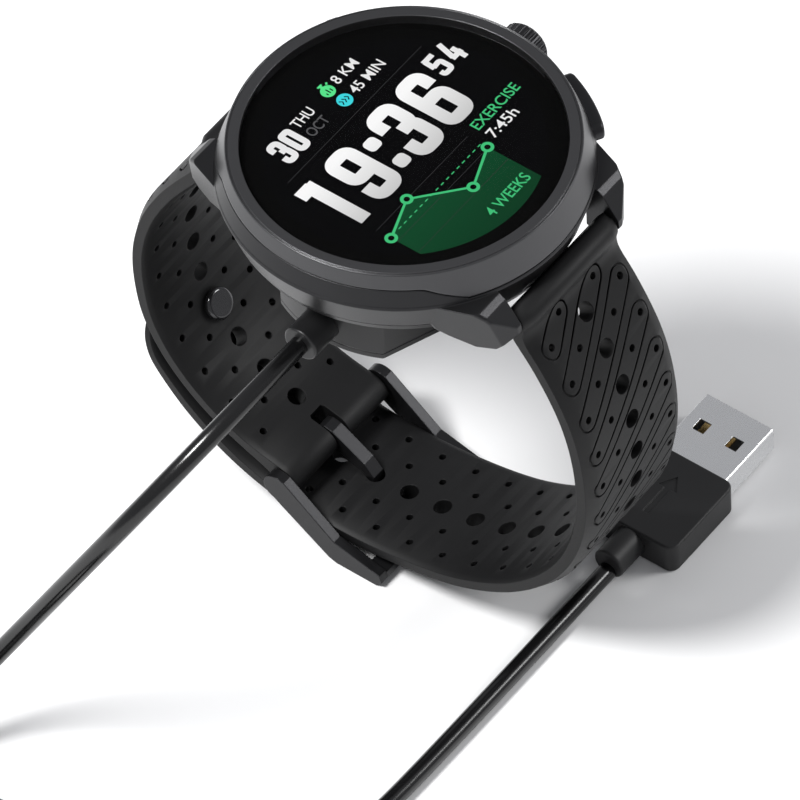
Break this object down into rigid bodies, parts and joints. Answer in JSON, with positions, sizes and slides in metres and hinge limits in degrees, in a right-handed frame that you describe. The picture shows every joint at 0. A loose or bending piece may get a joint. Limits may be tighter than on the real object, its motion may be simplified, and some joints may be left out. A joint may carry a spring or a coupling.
{
  "type": "gps running watch",
  "caption": "Round sports watch with crown, buttons and a buckled perforated strap, standing on its strap loop with a magnetic charging dock and USB lead attached.",
  "frame": {"origin": "centre of the display side, on the plane of the bezel top; the watch stands on its buckle 85.1 mm below", "axes": "+X towards 3 o'clock and the crown, +Y towards 12 o'clock, +Z out of the display"},
  "size_m": [0.1613, 0.0824, 0.0851],
  "materials": {
    "bezel_metal": "satin",
    "case_polymer": "satin",
    "cover_glass": "polished",
    "display_layer": "gloss",
    "seal_rubber": "matt",
    "frame_steel": "brushed",
    "board_laminate": "satin",
    "component_can": "satin",
    "battery_foil": "satin",
    "contact_gold": "polished",
    "sensor_resin": "gloss",
    "crown_metal": "satin",
    "strap_silicone": "matt",
    "buckle_metal": "satin",
    "dock_plastic": "satin",
    "magnet_nickel": "polished",
    "lead_jacket": "gloss",
    "plug_plastic": "matt",
    "plug_shell_metal": "satin",
    "plug_core": "matt"
  },
  "bodies": {
    "watch": {"bezel_ring": "bezel_metal", "display_glass": "cover_glass", "glass_gasket": "seal_rubber", "display_panel": "display_layer", "display_carrier": "frame_steel", "antenna_ring": "case_polymer", "case_middle": "case_polymer", "screw_bosses": "frame_steel", "back_gasket": "seal_rubber", "case_back": "case_polymer", "back_screws": "frame_steel", "sensor_window": "sensor_resin", "sensor_board": "board_laminate", "charge_contacts": "contact_gold", "main_board": "board_laminate", "board_parts": "component_can", "battery": "battery_foil", "vibration_motor": "component_can", "crown_tube": "frame_steel", "crown_switch": "component_can", "upper_button_seal": "seal_rubber", "upper_button_switch": "component_can", "lower_button_seal": "seal_rubber", "lower_button_switch": "component_can", "strap_upper": "strap_silicone", "strap_lower": "strap_silicone", "strap_stud": "buckle_metal", "upper_spring_bar": "frame_steel", "lower_spring_bar": "frame_steel", "buckle_bar": "frame_steel", "lead_dock_run": "lead_jacket", "lead_plug_run": "lead_jacket", "lead_coil": "lead_jacket", "plug_relief": "plug_plastic", "plug_overmold": "plug_plastic", "plug_shell": "plug_shell_metal", "plug_insulator": "plug_core", "plug_contacts": "contact_gold"},
    "crown_plunger": {"crown_plunger": "frame_steel"},
    "crown": {"crown_knob": "crown_metal", "crown_stem": "frame_steel"},
    "upper_button": {"upper_button": "crown_metal"},
    "lower_button": {"lower_button": "crown_metal"},
    "buckle_frame": {"buckle_frame": "buckle_metal"},
    "buckle_tongue": {"buckle_tongue": "buckle_metal"},
    "dock": {"dock_housing": "dock_plastic", "dock_lid": "dock_plastic", "dock_magnets": "magnet_nickel", "dock_pin_block": "plug_core", "dock_board": "board_laminate", "cable_boot": "dock_plastic"},
    "dock_pins": {"dock_pins": "contact_gold"}
  },
  "joints": [
    {"name": "crown_press", "type": "slide", "parent": "watch", "child": "crown_plunger", "axis": [-1, 0, 0], "range_m": [0, 0.0008], "stiffness_N_per_m": 400, "springref_m": -0.0008},
    {"name": "crown_turn", "type": "hinge", "parent": "crown_plunger", "child": "crown", "pos_m": [0.025, 0, -0.0061], "axis": [1, 0, 0], "continuous": true},
    {"name": "upper_button_press", "type": "slide", "parent": "watch", "child": "upper_button", "axis": [-0.866, -0.5, 0], "range_m": [0, 0.0008], "stiffness_N_per_m": 400, "springref_m": -0.0008},
    {"name": "lower_button_press", "type": "slide", "parent": "watch", "child": "lower_button", "axis": [-0.866, 0.5, 0], "range_m": [0, 0.0008], "stiffness_N_per_m": 400, "springref_m": -0.0008},
    {"name": "buckle_frame_hinge", "type": "hinge", "parent": "watch", "child": "buckle_frame", "pos_m": [0, 0.0169, -0.0754], "axis": [1, 0, 0], "range_deg": [0, 45]},
    {"name": "buckle_tongue_hinge", "type": "hinge", "parent": "watch", "child": "buckle_tongue", "pos_m": [0, 0.0169, -0.0754], "axis": [1, 0, 0], "range_deg": [-1.5, 0]},
    {"name": "dock_pull", "type": "slide", "parent": "watch", "child": "dock", "axis": [0, 0, -1], "range_m": [0, 0.008], "stiffness_N_per_m": 40, "springref_m": -0.015},
    {"name": "dock_pin_press", "type": "slide", "parent": "dock", "child": "dock_pins", "axis": [0, 0, -1], "range_m": [0, 0.0006], "stiffness_N_per_m": 300, "springref_m": -0.0006}
  ]
}
